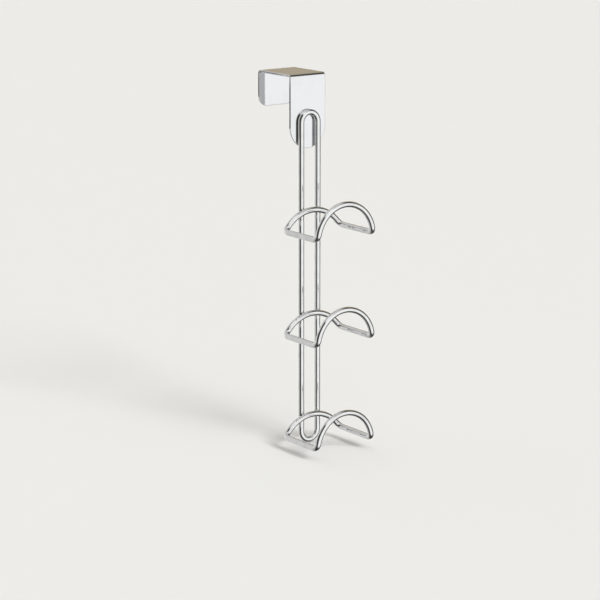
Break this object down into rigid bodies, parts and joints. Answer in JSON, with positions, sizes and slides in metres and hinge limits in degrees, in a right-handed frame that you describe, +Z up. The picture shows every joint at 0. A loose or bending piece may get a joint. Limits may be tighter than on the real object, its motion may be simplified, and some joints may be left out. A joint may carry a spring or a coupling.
{
  "type": "over-door bag hook rack",
  "caption": "Over-door rack for bags: a folded sheet bracket caps the door's top edge, and a long wire loop hung from it carries saddle-shaped wire hooks for straps.",
  "frame": {"origin": "middle of the top plate's underside, where the bracket rests on the door's top edge", "axes": "+Z up, +X along the door to the right as seen from the room, hooks reach out along -Y into the room"},
  "size_m": [0.0608, 0.0978, 0.3083],
  "materials": {
    "plated_sheet": "mirror-bright chrome plate on sheet steel",
    "plated_wire": "mirror-bright chrome plate on round steel wire"
  },
  "bodies": {
    "root": {"door_bracket": "plated_sheet", "frame_wire": "plated_wire", "upper_hook": "plated_wire", "middle_hook": "plated_wire", "lower_hook": "plated_wire"}
  },
  "joints": []
}
